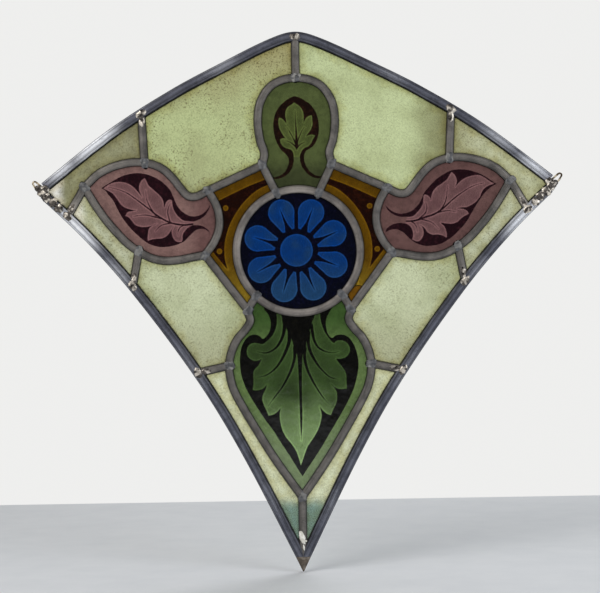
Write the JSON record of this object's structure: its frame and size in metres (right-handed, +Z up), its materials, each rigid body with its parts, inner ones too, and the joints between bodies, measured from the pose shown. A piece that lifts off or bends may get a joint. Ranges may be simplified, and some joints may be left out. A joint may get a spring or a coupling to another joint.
{
  "type": "stained glass panel",
  "caption": "Kite-shaped leaded glass tracery panel with painted leaves, a flower roundel and wire loops for hanging.",
  "frame": {"origin": "midway between the two wire hanging loops at the side corners, in the middle of the panel's thickness", "axes": "+Z up towards the rounded apex, +X to the right seen from the painted front, +Y out of the back, so the front faces -Y"},
  "size_m": [0.4244, 0.008, 0.4314],
  "materials": {
    "border_lead": "smooth slate grey lead, rubbed bright where light catches it",
    "came_lead": "dull grey-brown lead with a rounded face and streaks along it",
    "solder": "bright lumpy tin solder with darker pits",
    "wire": "dark tarnished wire",
    "blue_glass": "deep blue glass painted with a flower in dark enamel",
    "green_glass": "green glass painted with a leaf in black-brown enamel",
    "mauve_glass": "mauve glass painted with a leaf in dark plum enamel",
    "amber_glass": "amber glass painted with berries and dark corners",
    "pale_green_glass": "pale green see-through glass with specks of grime"
  },
  "bodies": {
    "root": {"amber_lower_came_left": "came_lead", "amber_lower_came_right": "came_lead", "amber_top_came_left": "came_lead", "amber_top_came_right": "came_lead", "belly_came_left": "came_lead", "belly_came_right": "came_lead", "border_came_lower_left": "border_lead", "border_came_lower_right": "border_lead", "border_came_top": "border_lead", "corner_came_left": "came_lead", "corner_came_right": "came_lead", "corner_solder_left": "solder", "corner_solder_right": "solder", "crest_came_left": "came_lead", "crest_came_right": "came_lead", "glass_amber_left": "amber_glass", "glass_amber_right": "amber_glass", "glass_bottom_leaf": "green_glass", "glass_bottom_left": "pale_green_glass", "glass_bottom_right": "pale_green_glass", "glass_corner_lower_left": "pale_green_glass", "glass_corner_lower_right": "pale_green_glass", "glass_corner_upper_left": "pale_green_glass", "glass_corner_upper_right": "pale_green_glass", "glass_lower_left": "pale_green_glass", "glass_lower_right": "pale_green_glass", "glass_mauve_leaf_left": "mauve_glass", "glass_mauve_leaf_right": "mauve_glass", "glass_roundel": "blue_glass", "glass_top_lobe": "green_glass", "glass_upper_left": "pale_green_glass", "glass_upper_right": "pale_green_glass", "hanging_loop_left": "wire", "hanging_loop_right": "wire", "leaf_came_left": "came_lead", "leaf_came_right": "came_lead", "leaf_side_came_left": "came_lead", "leaf_side_came_right": "came_lead", "lobe_came": "came_lead", "lobe_foot_came_left": "came_lead", "lobe_foot_came_right": "came_lead", "mauve_inner_came_left": "came_lead", "mauve_inner_came_right": "came_lead", "mauve_lower_came_left": "came_lead", "mauve_lower_came_right": "came_lead", "mauve_upper_came_left": "came_lead", "mauve_upper_came_right": "came_lead", "ring_came": "came_lead", "stem_came": "came_lead", "tail_came": "came_lead"}
  },
  "joints": []
}
